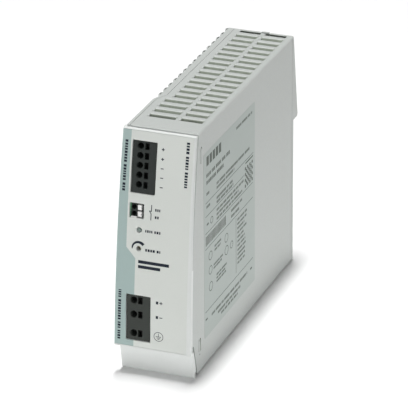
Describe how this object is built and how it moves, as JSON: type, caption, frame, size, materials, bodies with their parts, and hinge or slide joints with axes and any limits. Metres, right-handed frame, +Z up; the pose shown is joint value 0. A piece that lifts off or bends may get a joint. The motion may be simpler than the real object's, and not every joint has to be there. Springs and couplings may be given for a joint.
{
  "type": "din rail power supply",
  "caption": "Slim steel-cased rail power supply with a curved plastic front, push-in terminal blocks, vented top and a sprung rail foot.",
  "frame": {"origin": "centre of the footprint, on the plane that the housing stands on", "axes": "+X to the right seen from the front, +Y to the back (the rail side), +Z up; the front plate faces -Y"},
  "size_m": [0.0412, 0.16, 0.13],
  "materials": {
    "coated_steel": "fine satin light grey coat",
    "zinc_steel": "bright zinc plate",
    "light_plastic": "fine matt moulding",
    "front_film": "matt printed film, light grey with a blue-grey band",
    "sticker": "matt grey polyester film",
    "black_plastic": "fine matt moulding",
    "grey_plastic": "fine matt moulding",
    "white_plastic": "smooth moulding",
    "lens": "frosted grey-green light pipe",
    "board": "green solder mask",
    "insulation": "smooth film",
    "ferrite": "matt dark ceramic",
    "tape": "yellow tape and box",
    "copper": "enamelled copper",
    "can_sleeve": "dark heat-shrink sleeve",
    "aluminium": "mill finish",
    "blue_ceramic": "blue epoxy coat",
    "fuse_ceramic": "white ceramic tube"
  },
  "bodies": {
    "housing": {"hood": "coated_steel", "left_cover": "coated_steel", "rear_chassis": "coated_steel", "cover_screw_1": "zinc_steel", "cover_screw_2": "zinc_steel", "cover_screw_3": "zinc_steel", "hook_screw_1": "zinc_steel", "hook_screw_2": "zinc_steel", "guide_screw_1": "zinc_steel", "guide_screw_2": "zinc_steel", "rail_hook": "zinc_steel", "latch_guide": "zinc_steel", "latch_spring": "zinc_steel", "board_pillar_1": "zinc_steel", "board_pillar_2": "zinc_steel", "board_pillar_3": "zinc_steel", "board_pillar_4": "zinc_steel", "front_frame": "light_plastic", "front_label": "front_film", "rating_label": "sticker", "output_terminal": "black_plastic", "signal_terminal": "black_plastic", "switching_transistor": "black_plastic", "output_rectifier": "black_plastic", "signal_relay": "black_plastic", "input_terminal": "grey_plastic", "lamp_pipe": "lens", "circuit_board": "board", "insulation_sheet": "insulation", "transformer_core": "ferrite", "transformer_winding": "tape", "filter_capacitor": "tape", "filter_choke": "copper", "boost_choke": "copper", "plus_bar": "copper", "minus_bar": "copper", "bulk_capacitor_1": "can_sleeve", "bulk_capacitor_2": "can_sleeve", "output_capacitor_1": "can_sleeve", "output_capacitor_2": "can_sleeve", "output_capacitor_3": "can_sleeve", "input_heat_sink": "aluminium", "output_heat_sink": "aluminium", "surge_disc": "blue_ceramic", "trimmer_body": "blue_ceramic", "fuse": "fuse_ceramic"},
    "foot_latch": {"foot_latch": "zinc_steel"},
    "trimmer": {"trimmer_rotor": "white_plastic"},
    "signal_button_1": {"signal_button_1": "white_plastic"},
    "signal_button_2": {"signal_button_2": "white_plastic"},
    "output_release_1": {"output_release_1": "black_plastic"},
    "output_release_2": {"output_release_2": "black_plastic"},
    "output_release_3": {"output_release_3": "black_plastic"},
    "output_release_4": {"output_release_4": "black_plastic"},
    "output_release_5": {"output_release_5": "black_plastic"},
    "input_release_1": {"input_release_1": "black_plastic"},
    "input_release_2": {"input_release_2": "black_plastic"},
    "input_release_3": {"input_release_3": "black_plastic"}
  },
  "joints": [
    {"name": "foot_latch_slide", "type": "slide", "parent": "housing", "child": "foot_latch", "axis": [0, 0, -1], "range_m": [0, 0.006], "stiffness_N_per_m": 800, "springref_m": -0.003, "deforming": ["latch_spring"]},
    {"name": "trimmer_turn", "type": "hinge", "parent": "housing", "child": "trimmer", "pos_m": [-0.0082, -0.074, 0.0681], "axis": [0, -1, 0], "range_deg": [-135, 135]},
    {"name": "signal_button_1_press", "type": "slide", "parent": "housing", "child": "signal_button_1", "axis": [0, 1, 0], "range_m": [0, 0.001], "stiffness_N_per_m": 1000, "springref_m": -0.0005},
    {"name": "signal_button_2_press", "type": "slide", "parent": "housing", "child": "signal_button_2", "axis": [0, 1, 0], "range_m": [0, 0.001], "stiffness_N_per_m": 1000, "springref_m": -0.0005},
    {"name": "output_release_1_press", "type": "slide", "parent": "housing", "child": "output_release_1", "axis": [0, 1, 0], "range_m": [0, 0.0015], "stiffness_N_per_m": 1500, "springref_m": -0.001},
    {"name": "output_release_2_press", "type": "slide", "parent": "housing", "child": "output_release_2", "axis": [0, 1, 0], "range_m": [0, 0.0015], "stiffness_N_per_m": 1500, "springref_m": -0.001},
    {"name": "output_release_3_press", "type": "slide", "parent": "housing", "child": "output_release_3", "axis": [0, 1, 0], "range_m": [0, 0.0015], "stiffness_N_per_m": 1500, "springref_m": -0.001},
    {"name": "output_release_4_press", "type": "slide", "parent": "housing", "child": "output_release_4", "axis": [0, 1, 0], "range_m": [0, 0.0015], "stiffness_N_per_m": 1500, "springref_m": -0.001},
    {"name": "output_release_5_press", "type": "slide", "parent": "housing", "child": "output_release_5", "axis": [0, 1, 0], "range_m": [0, 0.0015], "stiffness_N_per_m": 1500, "springref_m": -0.001},
    {"name": "input_release_1_press", "type": "slide", "parent": "housing", "child": "input_release_1", "axis": [0, 1, 0], "range_m": [0, 0.0015], "stiffness_N_per_m": 1500, "springref_m": -0.001},
    {"name": "input_release_2_press", "type": "slide", "parent": "housing", "child": "input_release_2", "axis": [0, 1, 0], "range_m": [0, 0.0015], "stiffness_N_per_m": 1500, "springref_m": -0.001},
    {"name": "input_release_3_press", "type": "slide", "parent": "housing", "child": "input_release_3", "axis": [0, 1, 0], "range_m": [0, 0.0015], "stiffness_N_per_m": 1500, "springref_m": -0.001}
  ]
}
